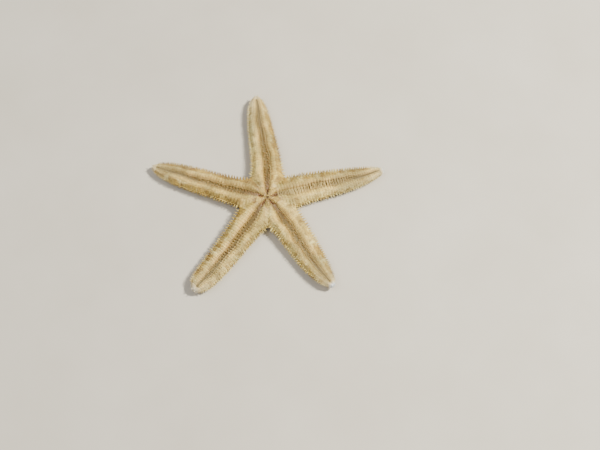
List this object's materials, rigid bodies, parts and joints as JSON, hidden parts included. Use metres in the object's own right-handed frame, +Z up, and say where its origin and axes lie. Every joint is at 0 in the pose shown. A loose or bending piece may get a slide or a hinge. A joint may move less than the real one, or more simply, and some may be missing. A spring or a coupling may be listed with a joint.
{
  "type": "starfish",
  "caption": "Small sand star lying on its back, with its furrows, tube feet, mouth plates and fringe of marginal spines uppermost; a still, life-size model.",
  "frame": {"origin": "middle of the disc's underside (the animal's back), on the floor", "axes": "+Z up, out of the mouth; +X to the right, between arm_1 and arm_5 and nearer arm_1; +Y away, with arm_2 nearest it"},
  "size_m": [0.0678, 0.0636, 0.0046],
  "materials": {
    "skin": "matte, finely spined, slightly moist",
    "terminal_plate": "smooth chalky plate",
    "mouth_plate": "chalky plate under a thin skin",
    "madreporite": "finely grooved chalky plate"
  },
  "bodies": {
    "root": {"disc": "skin", "arm_1": "skin", "arm_2": "skin", "arm_3": "skin", "arm_4": "skin", "arm_5": "skin", "tip_1": "terminal_plate", "tip_2": "terminal_plate", "tip_3": "terminal_plate", "tip_4": "terminal_plate", "tip_5": "terminal_plate", "jaw_1": "mouth_plate", "jaw_2": "mouth_plate", "jaw_3": "mouth_plate", "jaw_4": "mouth_plate", "jaw_5": "mouth_plate", "madreporite": "madreporite"}
  },
  "joints": []
}
